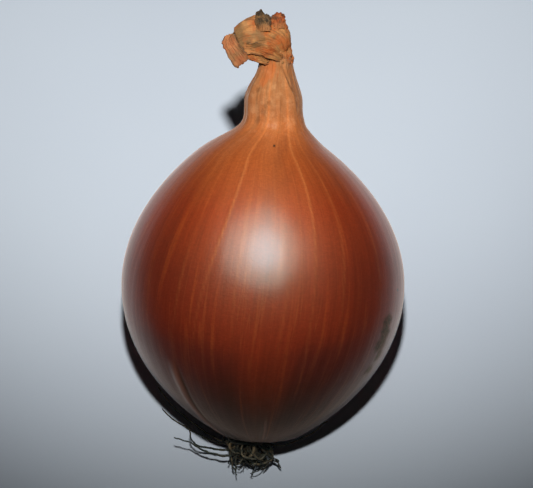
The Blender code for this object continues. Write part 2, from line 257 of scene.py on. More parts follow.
def skin_material():
    """Dry skin: streaked and veined along its length, glossy on the bulb, paler and dull up the neck, with
    painted shade on its sides, its lower part and in its creases.
    """
    paint = Painter("onion_skin")
    skin = paint.attribute("skin", "Vector")
    height = paint.attribute("height")
    vein, dirt_and_shade, painted_side_shade = (paint.attribute(name) for name in ("vein", "dirt_and_shade", "painted_side_shade"))
    pale, warm, mildew = (paint.attribute(name) for name in ("pale", "warm", "mildew"))
    where = paint.add("ShaderNodeTexCoord").outputs["Object"]

    broad = paint.noise(paint.stretch(skin, (5, 5, 0.9)), detail=4)
    streak = paint.noise(paint.stretch(skin, (20, 20, 1.1)), detail=5, roughness=0.6)
    fibre = paint.noise(paint.stretch(skin, (85, 85, 6)), detail=4, roughness=0.65)
    blotch = paint.noise(paint.stretch(skin, (3.2, 3.2, 3.2)), detail=5, roughness=0.6)
    weave = paint.noise(paint.stretch(skin, (22, 22, 110)), detail=3, roughness=0.6)
    thread = paint.noise(paint.stretch(skin, (13, 13, 0.3)), detail=1.5, roughness=0.4)
    mottle = paint.noise(where, scale=520, detail=4, roughness=0.6)
    speckle = paint.noise(where, scale=1700, detail=3)
    crumbs = paint.noise(where, scale=1100, detail=4, roughness=0.65)
    neck = paint.between(height, skin_share(34), skin_share(44))

    # The ramp runs from dark at the root end to orange at the shoulder and paler up the neck. Its darkness
    # towards the root end is partly the skin's own colour and partly painted shade.
    wander = paint.math("MULTIPLY", paint.math("SUBTRACT", broad, 0.5), 0.12)
    colour = paint.ramp(paint.math("ADD", height, wander), [
        (0.00, rgb(62, 33, 25)),
        (skin_share(-30), rgb(66, 34, 25)),
        (skin_share(-16), rgb(122, 43, 26)),
        (skin_share(-8), rgb(142, 46, 24)),
        (skin_share(8), rgb(138, 46, 24)),
        (skin_share(22), rgb(170, 62, 24)),
        (skin_share(33), rgb(184, 90, 38)),
        (skin_share(40), rgb(196, 110, 58)),
        (skin_share(45), rgb(189, 125, 79)),
        (1.00, rgb(173, 120, 75)),
    ])
    # Painted shade: darker on the sides turned away from the front, on the lower part and on the neck's
    # sides
    colour = paint.blend(painted_side_shade, colour, (0.74, 0.68, 0.7, 1), "MULTIPLY")

    # Darker and lighter streaks, the weave and the veins
    calm = paint.between(neck, 0, 1, 1, 0.4)
    lines = paint.math("MULTIPLY", paint.between(streak, 0.45, 0.75, 0, 0.45), calm)
    colour = paint.blend(lines, colour, (0.6, 0.46, 0.44, 1), "MULTIPLY")
    colour = paint.blend(paint.between(streak, 0.48, 0.25, 0, 0.26), colour, rgb(206, 104, 46))
    colour = paint.blend(paint.between(fibre, 0.35, 0.65, 0, 0.22), colour, (0.5, 0.4, 0.38, 1), "MULTIPLY")
    nearness = paint.math("ABSOLUTE", paint.math("SUBTRACT", thread, 0.5))
    threads = paint.between(nearness, 0.008, 0.0, 0, 0.3)
    fade = paint.between(height, skin_share(-26), skin_share(4), 0.15, 1)
    veins = paint.math("MULTIPLY", paint.math("MAXIMUM", threads, vein), fade)
    colour = paint.blend(paint.math("MULTIPLY", veins, 0.36), colour, rgb(222, 128, 66))
    colour = paint.blend(paint.between(blotch, 0.5, 0.75, 0, 0.3), colour, rgb(92, 38, 26))
    grain = paint.between(speckle, 0.35, 0.65, 0, 0.25)
    colour = paint.blend(grain, colour, (0.55, 0.5, 0.5, 1), "MULTIPLY")
    threaded = paint.between(weave, 0.36, 0.64, 0, 0.2)
    colour = paint.blend(threaded, colour, (0.5, 0.42, 0.42, 1), "MULTIPLY")
    # Painted shade: the lower sides are darker and greyer
    painted_low_shade = paint.math("MULTIPLY", painted_side_shade, paint.between(height, skin_share(-2), skin_share(-13)))
    colour = paint.blend(painted_low_shade, colour, (0.76, 0.92, 1.6, 1), "MULTIPLY")

    # The neck's mottling, then the marks. The dark mark holds real dirt and smudges, painted shadow in the
    # fold's crease and painted shade in the slit and the neck's groove.
    brown = paint.math("MULTIPLY", neck, paint.between(mottle, 0.48, 0.64, 0, 0.5))
    colour = paint.blend(brown, colour, rgb(164, 98, 54))
    straw = paint.math("MULTIPLY", neck, paint.between(mottle, 0.5, 0.32, 0, 0.18))
    colour = paint.blend(straw, colour, rgb(222, 172, 124))
    colour = paint.blend(pale, colour, rgb(156, 112, 96))
    colour = paint.blend(warm, colour, rgb(200, 92, 36))
    mildew = paint.math("MULTIPLY", mildew, paint.between(crumbs, 0.34, 0.54, 0.5, 1))
    colour = paint.blend(mildew, colour, rgb(34, 33, 24))
    colour = paint.blend(dirt_and_shade, colour, rgb(44, 32, 26))

    relief = paint.math("MULTIPLY", streak, 0.35)
    for detail, share in ((fibre, 0.4), (mottle, 0.25), (speckle, 0.7), (weave, 0.4), (veins, 0.1)):
        relief = paint.math("ADD", relief, paint.math("MULTIPLY", detail, share))
    low = paint.between(height, skin_share(-12), skin_share(-30), 0, 0.2)
    rough = paint.between(streak, 0.3, 0.7, 0.48, 0.56)
    for more in (paint.math("MULTIPLY", neck, 0.3), low, paint.math("MULTIPLY", mildew, 0.3)):
        rough = paint.math("ADD", rough, more)
    shiny = paint.between(height, skin_share(32), skin_share(42), 0.82, 0.05)
    shiny = paint.math("MULTIPLY", shiny, paint.between(height, skin_share(-35), skin_share(-6), 0.06, 1))
    shiny = paint.math("MULTIPLY", shiny, paint.between(mildew, 0, 1, 1, 0.2))
    return paint.finish(
        Base_Color=colour, Roughness=rough, Normal=paint.bump(relief, 0.22, 0.3), IOR=1.5,
        Specular_Tint=(1.0, 0.42, 0.16, 1.0), Specular_IOR_Level=0.5,
        Coat_Weight=shiny, Coat_Roughness=0.27,
        Sheen_Weight=0.3, Sheen_Roughness=0.35, Sheen_Tint=(1.0, 0.72, 0.56, 1.0),
    )


def leaf_material(name, pale, deep, olive, finer=1.0, foot=None):
    """A withered leaf, ribbed and blotched. Its foot fades into the foot colour where one is given."""
    paint = Painter(name)
    leaf = paint.attribute("leaf", "Vector")
    worn = paint.attribute("worn")
    where = paint.add("ShaderNodeTexCoord").outputs["Object"]
    blotch = paint.noise(where, scale=330 * finer, detail=4, roughness=0.6)
    rib = paint.noise(paint.stretch(leaf, (20, 1.6, 1)), detail=3, roughness=0.55)
    crumb = paint.noise(where, scale=1300, detail=4, roughness=0.7)
    colour = paint.blend(paint.between(blotch, 0.36, 0.62), pale, deep)
    patch = paint.noise(where, scale=240 * finer, detail=3, roughness=0.6)
    colour = paint.blend(paint.between(patch, 0.46, 0.64, 0, 0.75), colour, olive)
    colour = paint.blend(paint.between(rib, 0.45, 0.7, 0, 0.6), colour, olive)
    colour = paint.blend(paint.between(crumb, 0.58, 0.78, 0, 0.4), colour, rgb(84, 56, 36))
    colour = paint.blend(worn, colour, rgb(66, 48, 40))
    if foot:
        along = paint.add("ShaderNodeSeparateXYZ", [("Vector", leaf)]).outputs["Y"]
        uneven_edge = paint.math("ADD", along, paint.math("MULTIPLY", patch, 0.5))
        colour = paint.blend(paint.between(uneven_edge, 0.3, 0.95, 0.9, 0), colour, foot)
    relief = paint.math("ADD", rib, paint.math("MULTIPLY", crumb, 0.4))
    return paint.finish(
        Base_Color=colour, Roughness=0.72, Normal=paint.bump(relief, 0.8, 0.5),
        Specular_IOR_Level=0.2, IOR=1.45,
    )


def root_material(name, pale, dark):
    paint = Painter(name)
    where = paint.add("ShaderNodeTexCoord").outputs["Object"]
    spots = paint.noise(where, scale=420, detail=4, roughness=0.65)
    grit = paint.noise(where, scale=2400, detail=3, roughness=0.6)
    colour = paint.blend(paint.between(spots, 0.38, 0.62), dark, pale)
    colour = paint.blend(paint.between(grit, 0.5, 0.75, 0, 0.7), colour, rgb(34, 26, 18))
    return paint.finish(Base_Color=colour, Roughness=0.8, Normal=paint.bump(grit, 0.6, 0.15), IOR=1.45)


def paper_material():
    paint = Painter("paper")
    where = paint.add("ShaderNodeTexCoord").outputs["Object"]
    tooth = paint.noise(where, scale=1800, detail=4)
    cloud = paint.noise(where, scale=9, detail=2)
    colour = paint.blend(paint.between(cloud, 0.3, 0.7), rgb(214, 225, 238), rgb(218, 229, 241))
    return paint.finish(
        Base_Color=colour, Roughness=0.9, Normal=paint.bump(tooth, 0.15, 0.1), Specular_IOR_Level=0.0,
    )


# The bulb

def body_radius(height):
    height = np.asarray(height, float)
    upper = height >= 0
    inside = 1 - (height / np.where(upper, UPPER_REACH, LOWER_REACH)) ** 2
    fullness = np.where(upper, UPPER_FULLNESS, LOWER_FULLNESS)
    globe = BULB_RADIUS * np.sign(inside) * np.abs(inside) ** fullness
    above = smoothstep(-20, 20, height)
    neck = above * mix(NECK_RADIUS, MOUTH_RADIUS, smoothstep(NECK_FOOT, NECK_CLOSE, height))
    return (globe + neck + np.hypot(globe - neck, NECK_BLEND * above)) / 2


def body_centre(height):
    """Right and back offsets of the ring's middle: the neck is off centre and leans forward."""
    height = np.asarray(height, float)
    up_neck = np.maximum(0.0, (height - 38) / (NECK_MOUTH - 38))
    side = NECK_SIDE * smoothstep(34, 42, height) + MOUTH_SIDE * smoothstep(49, NECK_MOUTH, height)
    return side, -NECK_FORWARD * up_neck**1.4


def uneven(angle):
    return sum(size * np.cos(turns * angle + turn) for turns, turn, size in LUMPS + RIDGES)


def body_points(height, angle, share=1.0, lift=0.0):
    """Points of the skin in the onion's frame. Lift raises them off it."""
    neckness = smoothstep(33, 46, height)
    pleats = np.sin(7 * angle + 0.5) + 0.6 * np.sin(11 * angle + 2.0 + 0.06 * height)
    wide = 1 + uneven(angle) + PLEAT_DEPTH * neckness * pleats * share
    to_table = ((angle - math.pi / 2 + math.pi) % math.tau - math.pi) / BELLY_SPREAD
    belly = BELLY * np.exp(-(((height - BELLY_PLACE) / BELLY_LENGTH) ** 2) - to_table**2)
    reach = (body_radius(height) * wide + belly + lift) * share
    right, back = body_centre(height)
    flat = mix(1.0, 0.9, neckness)
    return np.stack([right + np.cos(angle) * reach, back + np.sin(angle) * reach * flat, height], -1)


BULB_SEGMENTS, BULB_RINGS = 400, 230
NECK_TOP = 57.4
FRONT = -math.pi / 2
TWIST = 0.2

# Marks on the skin: heights are in millimetres and turns in degrees from the front, to the right.
# Each vein is (turn at the widest ring, strength, lean in degrees a millimetre).
VEINS = (
    (-52, 0.5, 0), (-36, 0.35, 0), (-24.9, 1.5, 0.15), (-11, 0.4, 0), (1, 0.3, 0),
    (9, 0.4, 0), (20.5, 1.4, 0), (33, 0.5, 0), (52, 0.45, 0),
)
HIDDEN_VEINS = 26
# Routes of (height, turn)
FOLD = ((-13, -40.5), (-21.3, -41.5), (-27.9, -44), (-33, -46.5), (-37.5, -51))
NECK_FOLD = ((39, 66), (45, 52), (50, 42), (54, 30), (57.5, 8))
SLIT = ((-28, 1.2), (-32.9, 0), (-37, -2.4))
# Spots of (height, turn, size)
SPOTS = {
    "mildew": (
        (-5.5, 60.5, 2.0), (-8.5, 60, 2.6), (-11.5, 59.5, 2.5), (-14.2, 61, 1.7), (-18, 58, 1.4),
    ),
    "dirt_and_shade": ((1.3, 69, 0.5), (36.6, 10, 0.35)),
    "warm": ((54.3, -20, 2.4), (51.5, -30, 1.2)),
    "smudge": ((44.1, -22, 0.9), (45.6, -17, 0.6), (46.4, -8.5, 0.7), (49.5, -38, 0.8), (42, -30, 1.0)),
}


def vein_strength(height, turn):
    """How strongly a lighter vein shows at each point. Turn is in degrees from the front."""
    rng = random.Random(SEED)
    lines = list(VEINS)
    for number in range(HIDDEN_VEINS):
        lines.append((70 + 220 * (number + rng.random()) / HIDDEN_VEINS, rng.uniform(0.2, 0.8), 0))
    total = np.zeros_like(turn)
    for place, strength, lean in lines:
        sway = 0.9 * np.sin(height * rng.uniform(0.05, 0.12) + rng.uniform(0, 6))
        off = side_distance(height, turn, place + sway + (TWIST + lean) * height)
        fade = 0.6 + 0.4 * np.sin(height * rng.uniform(0.08, 0.2) + rng.uniform(0, 6))
        fade *= 0.25 + 0.75 * smoothstep(-22, 6, height)
        total = np.maximum(total, strength * fade * np.exp(-((off / 0.3) ** 2)))
    return total


def side_distance(height, turn, line):
    """Millimetres round the bulb from a line, to the right of it where positive."""
    around = (turn - line + 180) % 360 - 180
    return np.radians(around) * np.maximum(body_radius(height), 5)


def line_distance(height, turn, route):
    """Side distance from a mark's line, and how far a point is inside the line's two ends."""
    heights, turns = np.array(sorted(route)).T
    off = side_distance(height, turn, np.interp(height, heights, turns))
    lower = smoothstep(heights[0] - 1, heights[0] + 2, height)
    upper = smoothstep(heights[-1] + 1, heights[-1] - 6, height)
    return off, lower * upper


def spot_strength(height, turn, spots):
    total = np.zeros_like(turn)
    for place, spot_turn, size in spots:
        away = np.hypot(side_distance(height, turn, spot_turn), (height - place) * 1.1)
        rough = 0.5 * noise_rows(np.stack([turn * 0.25, height * 0.8, np.full_like(turn, place)], -1))
        total = np.maximum(total, smoothstep(1.25, 0.55, away / size + rough))
    return total


def bulb_heights():
    heights = np.linspace(NECK_TOP, ROOT_END, 3000)
    radius = body_radius(heights)
    steps = np.hypot(np.diff(heights), np.diff(radius)) * (1 + 0.8 * smoothstep(30, 40, heights[1:]))
    lengths = np.concatenate([[0], np.cumsum(steps)])
    return np.interp(np.linspace(0, lengths[-1], BULB_RINGS), lengths, heights)


def make_bulb():
    angles = np.linspace(0, math.tau, BULB_SEGMENTS, endpoint=False)
    height, angle = np.meshgrid(bulb_heights(), angles, indexing="ij")
    height, angle = height.ravel(), angle.ravel()
    turn = np.degrees(angle - FRONT)
    along = angle - np.radians(TWIST) * height
    around = np.stack([np.cos(along), np.sin(along), height / BULB_RADIUS], -1)

    vein = vein_strength(height, turn)
    fold, in_fold = line_distance(height, turn, FOLD)
    ridge = np.where(fold < 0, np.exp(-(((fold + 0.9) / 1.2) ** 2)), 0.5 * np.exp(-((fold / 0.35) ** 2)))
    ridge = ridge * in_fold
    crease = np.exp(-(((fold - 0.55) / 0.4) ** 2)) * in_fold
    seam, in_seam = line_distance(height, turn, NECK_FOLD)
    hem = np.exp(-(((seam + 0.5) / 0.5) ** 2)) * in_seam
    groove = np.exp(-((seam / 0.25) ** 2)) * in_seam
    slit, in_slit = line_distance(height, turn, SLIT)
    slit_width = 0.28 + 0.25 * smoothstep(-29, -36, height)
    gash = np.exp(-((slit / slit_width) ** 2)) * in_slit
    flap = np.exp(-(((slit - 0.55) / 0.32) ** 2)) * in_slit

    neckness = smoothstep(30, 46, height)
    mouth = smoothstep(51, NECK_TOP, height)
    streaks = noise_rows(around * (11, 11, 0.6))
    ribs = np.sin(37 * angle + 2.5 * streaks) + 0.7 * np.sin(61 * angle + 3 * streaks + 1)
    wrinkle = noise_rows(np.stack([turn * 0.16, height * 0.22, np.zeros_like(turn)], -1))
    lift = 0.035 * streaks + 0.03 * vein + 0.03 * ribs * neckness * (0.4 + wrinkle) - 0.1 * mouth
    lift += 0.14 * wrinkle * smoothstep(40, 46, height)
    lift += 0.4 * ridge - 0.12 * crease - 0.3 * gash + 0.25 * hem - 0.2 * groove
    lift += 0.5 * noise_rows(around * (9, 9, 9)) * smoothstep(-35, -38, height)
    ragged = 0.5 * np.sin(3 * angle + 1) + 0.3 * np.sin(11 * angle) + 0.25 * np.sin(23 * angle + 2)
    points = body_points(height, angle, 1.0, lift)
    points[:, 2] += ragged * mouth

    def ring(up, share):
        return body_points(np.full_like(angles, up), angles, share)

    inside = [ring(52.0, 0.5), ring(55.6, 0.86)]
    ends = [ring(ROOT_END - ROOT_END_ROUNDING * 0.4, 0.86), ring(ROOT_END - ROOT_END_ROUNDING * 0.5, 0.4)]
    points = np.concatenate([*inside, points, *ends])
    count = BULB_RINGS + 4
    faces = grid_faces(count, BULB_SEGMENTS, True)
    first, last = len(points), len(points) + 1
    caps = np.array([points[:BULB_SEGMENTS].mean(0), points[-BULB_SEGMENTS:].mean(0)])
    points = np.concatenate([points, caps])
    bottom = (count - 1) * BULB_SEGMENTS
    for i in range(BULB_SEGMENTS):
        j = (i + 1) % BULB_SEGMENTS
        faces.append([first, j, i])
        faces.append([last, bottom + i, bottom + j])

    def padded(values):
        """Values of the rings with noughts for the rings inside the mouth, at the root end and the caps."""
        pad = np.zeros(BULB_SEGMENTS * 2)
        return np.concatenate([pad, values, pad, [0, 0]])

    marks = {name: spot_strength(height, turn, spots) for name, spots in SPOTS.items()}
    # Painted shadow in the crease beside the lifted fold, painted shade in the slit and in the neck's
    # groove, and darker at the root end, go in with the real dirt spots and smudges
    marks["dirt_and_shade"] = np.maximum(marks["dirt_and_shade"], np.maximum(0.8 * crease, gash))
    marks["dirt_and_shade"] = np.maximum(marks["dirt_and_shade"], 0.5 * smoothstep(-34, -38, height))
    marks["dirt_and_shade"] = np.maximum(marks["dirt_and_shade"], np.maximum(0.3 * marks.pop("smudge"), 0.5 * groove))
    marks["pale"] = np.maximum(0.8 * flap, 0.6 * ridge)
    marks["warm"] = 0.4 * marks["warm"]
    # Painted side shade: darker on the sides turned away from the front, on the lower front and on the
    # neck's sides. It eases off near the rim, which leaves a paler rim as painted sheen.
    away = np.abs((turn + 180) % 360 - 180)
    paler = 0.9 * smoothstep(50, 72, away) * smoothstep(-26, -6, height)
    painted_side_shade = smoothstep(18, 46, away) * (1 - paler) * smoothstep(40, 25, height)
    painted_side_shade += 0.9 * smoothstep(4, 22, away) * smoothstep(-2, -13, height)
    marks["painted_side_shade"] = painted_side_shade + 0.45 * smoothstep(10, 60, away) * smoothstep(36, 44, height)
    all_along = np.concatenate([angles, angles, along, angles, angles, [0, 0]])
    attributes = {name: padded(values) for name, values in marks.items()}
    attributes["vein"] = padded(vein)
    attributes["height"] = skin_share(points[:, 2])
    attributes["skin"] = np.stack([np.cos(all_along), np.sin(all_along), points[:, 2] / BULB_RADIUS], -1)

    # The skin is flat where it rests on the table
    world = to_world(points)
    world[:, 2] = np.maximum(world[:, 2], 0.0)
    bulb = mesh_object("onion_bulb", points, faces, skin_material(), attributes)
    bulb.data.vertices.foreach_set("co", world.astype(np.float32).ravel())
    bulb.data.update()
    ride(bulb, "onion_skin", "bulb")


# The withered leaf ends

# The bundle: a stub that rises from the neck, and an arm folded over to the left in front of it.
# Each row is (right, front, up, half width, half thickness), as in the solids.
BUNDLE_SPINES = {
    "leaf_stub": [
        (3.2, 3.6, 55.5, 4.3, 3.7),
        (3.2, 3.6, 58.2, 3.9, 3.4),
        (2.5, 4.2, 62.6, 3.6, 2.4),
        (2.4, 4.9, 66.4, 2.8, 1.3),
    ],
    "leaf_folded_arm": [
        (4.9, 4.8, 58.7, 2.3, 1.4),
        (2.9, 6.6, 61.2, 4.2, 2.0),
        (-0.4, 7.7, 62.3, 4.7, 2.1),
        (-3.7, 8.2, 62.2, 4.3, 1.7),
        (-5.9, 7.8, 61.4, 3.0, 1.1),
    ],
}

# Leaf blades: spine points (right, front, up), half widths, the way across, how far the tip is torn
# and the material. The mouth's tongue is too small to be one of the solids.
BLADES = {
    "flag": (
        [(-7.2, 7.8, 63.2), (-8.0, 8.8, 61.6), (-6.5, 9.6, 58.9), (-4.5, 9.8, 56.3)],
        [1.5, 1.8, 2.0, 1.9], (0.84, 0.1, 0.54), 0.3, "olive",
    ),
    "crease_lip": (
        [(-4.0, 9.5, 60.1), (-1.2, 10.0, 59.8), (1.8, 9.3, 58.8), (4.6, 7.2, 57.1)],
        [1.3, 1.5, 1.4, 1.0], (0.3, 0.35, 1.0), 0.6, "tan",
    ),
    "right_sheath": (
        [(5.4, 4.2, 57.2), (5.1, 4.6, 61.0), (4.4, 5.4, 65.0), (3.9, 5.8, 67.4)],
        [2.0, 2.2, 2.0, 1.5], (0.55, 0.8, 0.1), 0.9, "tan",
    ),
    "top_tongue": (
        [(0.2, 10.3, 64.0), (0.2, 10.2, 65.6), (0.1, 9.2, 67.2), (0.0, 8.2, 68.2)],
        [1.6, 1.8, 1.8, 1.5], (1.0, 0.1, 0.0), 0.6, "dark",
    ),
    "top_scrap": (
        [(3.7, 8.0, 64.4), (3.7, 7.7, 65.8), (3.8, 7.1, 67.0), (3.8, 6.3, 68.0)],
        [1.5, 1.6, 1.6, 1.5], (1.0, -0.2, 0.1), 0.4, "rust",
    ),
    "mouth_tongue": (
        [(-3.8, 9.0, 58.4), (-2.2, 8.8, 57.8), (-0.4, 8.1, 57.0), (1.4, 7.1, 56.3)],
        [0.9, 1.0, 0.9, 0.5], (0.3, 0.2, 1.0), 0.3, "tan",
    ),
    "back_sheath": (
        [(1.6, 2.6, 57.2), (1.4, 2.6, 60.4), (0.6, 3.2, 64.0), (-0.4, 4.4, 66.8)],
        [4.0, 4.2, 3.6, 2.2], (1.0, -0.1, 0.0), 1.4, "tan",
    ),
}


# Rows along a piece and points across it
BUNDLE_GRID = (120, 160)
BLADE_GRID = (80, 50)
BLADE_THICKNESS = 0.4


def facing(rows):
    """Turns (right, front, up) rows into the onion's frame, whose y goes to the back."""
    return np.asarray(rows, float) * (1, -1, 1)


def unit(rows):
    return rows / np.linalg.norm(rows, axis=-1, keepdims=True)


def make_bundle(name, spine, material):
    """A flattened, rumpled and pleated tube round a spine, closed at both ends."""
    rows, columns = BUNDLE_GRID
    shares = np.linspace(0, 1, rows)
    line = curve_through(spine, shares)
    ahead = curve_through(spine, np.minimum(shares + 0.04, 1))[:, :3]
    behind = curve_through(spine, np.maximum(shares - 0.04, 0))[:, :3]
    heading = unit(facing(ahead - behind))
    across = unit(np.cross((0, -1, 0), heading))
    outward = unit(np.cross(heading, across))
    angles = np.linspace(0, math.tau, columns, endpoint=False)
    share, angle = np.meshgrid(shares, angles, indexing="ij")
    share, angle = share.ravel(), angle.ravel()
    row = np.repeat(np.arange(rows), columns)
    probe = np.stack([np.cos(angle) * 1.4, np.sin(angle) * 1.4, share * 4], -1)
    rumple, crease = noise_rows(probe), noise_rows(probe * (2.6, 2.6, 2.2) + 7)
    pleat = np.sin(15 * angle + 4 * rumple + 2 * crease) + 0.6 * np.sin(29 * angle + 5 * crease)
    cap = np.interp(share, [0, 0.08, 0.92, 1], [0.75, 1, 1, 0.75])
    wide = (1 + 0.2 * rumple * smoothstep(0, 0.3, share) + 0.025 * pleat + 0.12 * crease) * cap
    points = facing(line[row, :3]) + across[row] * (np.cos(angle) * line[row, 3] * wide)[:, None]
    points += outward[row] * (np.sin(angle) * line[row, 4] * wide)[:, None]
    foot, tip = facing(line[0, :3]) - heading[0] * 0.2, facing(line[-1, :3]) + heading[-1] * 0.4
    faces = grid_faces(rows, columns, True)
    start = (rows - 1) * columns
    for i in range(columns):
        j = (i + 1) % columns
        faces.append([len(points), j, i])
        faces.append([len(points) + 1, start + i, start + j])
    points = np.concatenate([points, [foot, tip]])
    leaf = np.stack([angle / math.tau * 4, share, np.zeros_like(share)], -1)
    leaf = np.concatenate([leaf, leaf[:1], leaf[-1:]])
    worn = np.concatenate([0.5 * smoothstep(0.9, 1.0, share), [0, 0.5]])
    bundle = mesh_object(name, points, faces, material, {"leaf": leaf, "worn": worn})
    ride(bundle, "dry_leaf", *(["dry_leaves"] if name == "leaf_stub" else []))


def make_blade(name, spine, half_widths, across, ragged, material):
    """A withered leaf end: a thin ribbed sheet along its spine, with a torn tip."""
    rows, columns = BLADE_GRID
    rng = random.Random(name)
    torn = [rng.uniform(-1, 1) for _ in range(6)]
    shares, sides = np.linspace(0, 1, rows), np.linspace(-1, 1, columns)
    line = facing(curve_through(spine, shares))
    ahead = curve_through(spine, np.minimum(shares + 0.05, 1))
    behind = curve_through(spine, np.maximum(shares - 0.05, 0))
    heading = unit(facing(ahead - behind))
    width = curve_through([(w, 0) for w in half_widths], shares)[:, 0]
    across = unit(facing(across))
    outward = unit(np.cross(across, heading))
    share, side = np.meshgrid(shares, sides, indexing="ij")
    share, side = share.ravel(), side.ravel()
    row = np.repeat(np.arange(rows), columns)
    place = rng.uniform(0, 60)
    coarse = noise_rows(np.stack([side * 1.6 + place, share * 2.2, np.zeros_like(side)], -1))
    tear = noise_rows(np.stack([side * 3.5 + place, np.full_like(side, place), np.zeros_like(side)], -1))
    notch = noise_rows(np.stack([np.sign(side) * 9 + place, share * 9, np.zeros_like(side)], -1))
    reach = 1 + 0.3 * notch * np.abs(side) ** 6
    tip = ragged * (np.interp(side, np.linspace(-1, 1, 6), torn) * smoothstep(0.7, 1.0, share))
    tip += ragged * tear * smoothstep(0.75, 1.0, share)
    wave = np.minimum(0.25, 0.12 * width[row])
    cup = -0.22 * width[row] * side**2 + wave * np.sin(9 * share + 3 * side)
    cup += wave * (1.2 * coarse + 0.3 * np.sin(19 * side + 4 * coarse))
    points = line[row] + across * (side * width[row] * reach)[:, None]
    points += outward[row] * cup[:, None] + heading[row] * tip[:, None]
    leaf = np.stack([side, share * 1.5, np.full_like(side, place)], -1)
    edge = np.maximum(smoothstep(0.9, 1.0, np.abs(side)), smoothstep(0.92, 1.0, share))
    sheet = mesh_object(
        "leaf_" + name, points, grid_faces(rows, columns, False), material,
        {"leaf": leaf, "worn": 0.5 * edge},
    )
    thicken = sheet.modifiers.new("thickness", "SOLIDIFY")
    thicken.thickness = BLADE_THICKNESS / 1000
    thicken.offset = 0
    ride(sheet, "dry_leaf")


def make_leaves():
    materials = {
        "tan": leaf_material("dry_leaf", rgb(190, 130, 75), rgb(178, 92, 40), rgb(118, 91, 56)),
        "olive": leaf_material("olive_leaf", rgb(194, 124, 76), rgb(166, 94, 54), rgb(134, 98, 62)),
        "rust": leaf_material(
            "rust_leaf", rgb(190, 108, 54), rgb(162, 74, 28), rgb(92, 60, 38), 3.0, rgb(170, 108, 62),
        ),
        "dark": leaf_material(
            "dark_leaf", rgb(152, 108, 64), rgb(56, 40, 30), rgb(92, 68, 42), 2.6, rgb(170, 112, 66),
        ),
    }
    for name, spine in BUNDLE_SPINES.items():
        make_bundle(name, spine, materials["tan"])
    for name, (spine, half_widths, across, ragged, colour) in BLADES.items():
        make_blade(name, spine, half_widths, across, ragged, materials[colour])


# The roots

PLATE_RADIUS, PLATE_HEIGHT = 5.4, 1.4
PLATE_SIDE = -3.6
PLATE_GAP = 0.3
ROOT_RADIUS = 0.32
ROOT_COUNT = 34
ROOT_STEP = 1.6
ROOT_CLEARANCE = 0.9
ROOT_SEED = 11
ROOT_SIDES = 7
FINE_ROOTS = 40
FINE_ROOT_RADII = (0.12, 0.24)
# How high a root's middle lies above the table at least
ROOT_LOWEST = ROOT_RADIUS * 1.2
# The roots curl back to the middle of the tuft: right, back and up
TUFT_MIDDLE = (-2.4, -1.0, -43.4)
TUFT_PULL = 0.11

# Roots that lie apart from the tuft: (right, front, up). Those after the first five trail thinly.
THICK_LONG_ROOTS = 5
LONG_ROOTS = [
    [(-4, 1, -40.3), (-7.4, 1.6, -43.4), (-11, 2, -43.4), (-15.3, 2, -42),
     (-18, 2, -40.2), (-22.2, 2, -38.8)],
    [(-4, 0, -40.3), (-8, 0.5, -42.4), (-13.6, 0.5, -42), (-17.6, 1, -40.4), (-18.4, 1.5, -36.8)],
    [(-3, 2, -40.3), (-6, 1, -43.5), (-7.6, 0, -45), (-6.4, -0.5, -46.6),
     (-4, 0, -45.4), (-2.2, 0.5, -44.4)],
    [(-1.4, 2, -40.3), (1, 2, -43), (3.4, 1, -45), (4.6, 0, -47.4)],
    [(-1, 0, -40.3), (2.4, 1, -43.2), (1.2, 1.5, -46), (0.2, 1, -47.6)],
    [(-1, 1, -40.4), (5, 2, -40.9), (10.9, 2, -38.6), (13.6, 2, -37), (15.8, 2, -34.6)],
    [(-5, -1, -40.4), (-10, -4, -42), (-15, -8, -41.6), (-18.6, -10.2, -40.2),
     (-23.2, -12.3, -38), (-26.1, -14.5, -35.6)],
    [(-5, -2, -40.4), (-10, -6, -42), (-14.5, -10, -41), (-18.6, -12.3, -38.6),
     (-23.4, -14.9, -35.1), (-27.5, -18.8, -31)],
]

TO_WORLD = pose_matrix()
TO_ONION = TO_WORLD.inverted()


def plate_centre():
    down = ROOT_END - ROOT_END_ROUNDING * 0.5 - PLATE_GAP - PLATE_HEIGHT / 2
    return Vector((PLATE_SIDE, 0, down))


def clear_of_bulb(point):
    """Moves a point, given in the world, away from the bulb where it would run into the skin."""
    local = TO_ONION @ point
    lowest = ROOT_END - ROOT_END_ROUNDING * 0.5 - ROOT_CLEARANCE
    if local.z < lowest:
        return point
    right, back = body_centre(local.z)
    out = Vector((local.x - right, local.y - back, 0))
    least = float(body_radius(max(local.z, ROOT_END))) * 1.03 + ROOT_CLEARANCE
    if out.length < least and local.z < ROOT_END + 1.5:
        local.z = lowest
    elif out.length < least:
        out = out.normalized() * least
        local = Vector((right + out.x, back + out.y, local.z))
    return TO_WORLD @ local


def wild_root(rng):
    """A root that starts on the plate and curls about in the tuft, above the table."""
    around, off = rng.uniform(0, math.tau), PLATE_RADIUS * 0.8 * math.sqrt(rng.random())
    foot = plate_centre() + Vector((math.cos(around) * off, math.sin(around) * off, 0))
    lean = Vector((math.cos(around), math.sin(around), 0)) * (off / PLATE_RADIUS)
    heading = TO_WORLD.to_3x3() @ (Vector((0, 0, -1)) + lean * 1.3)
    heading = (heading + Vector((0, 0.3, -0.3))).normalized()
    point = TO_WORLD @ foot
    points = [point.copy(), point + heading * 1.8]
    point = points[-1].copy()
    middle = TO_WORLD @ Vector(TUFT_MIDDLE)
    axis = Vector([rng.uniform(-1, 1) for _ in range(3)]).normalized()
    curl = Quaternion(axis, rng.uniform(0.2, 0.8))
    for _ in range(rng.randint(3, 7)):
        swirl = Vector([rng.uniform(-1, 1) for _ in range(3)]) * 0.35
        heading = (curl @ heading + swirl + (middle - point) * TUFT_PULL).normalized()
        point = clear_of_bulb(point + heading * ROOT_STEP)
        if point.z < ROOT_LOWEST:
            point.z = ROOT_LOWEST
            heading.z = max(0.0, heading.z)
        points.append(point.copy())
    return points


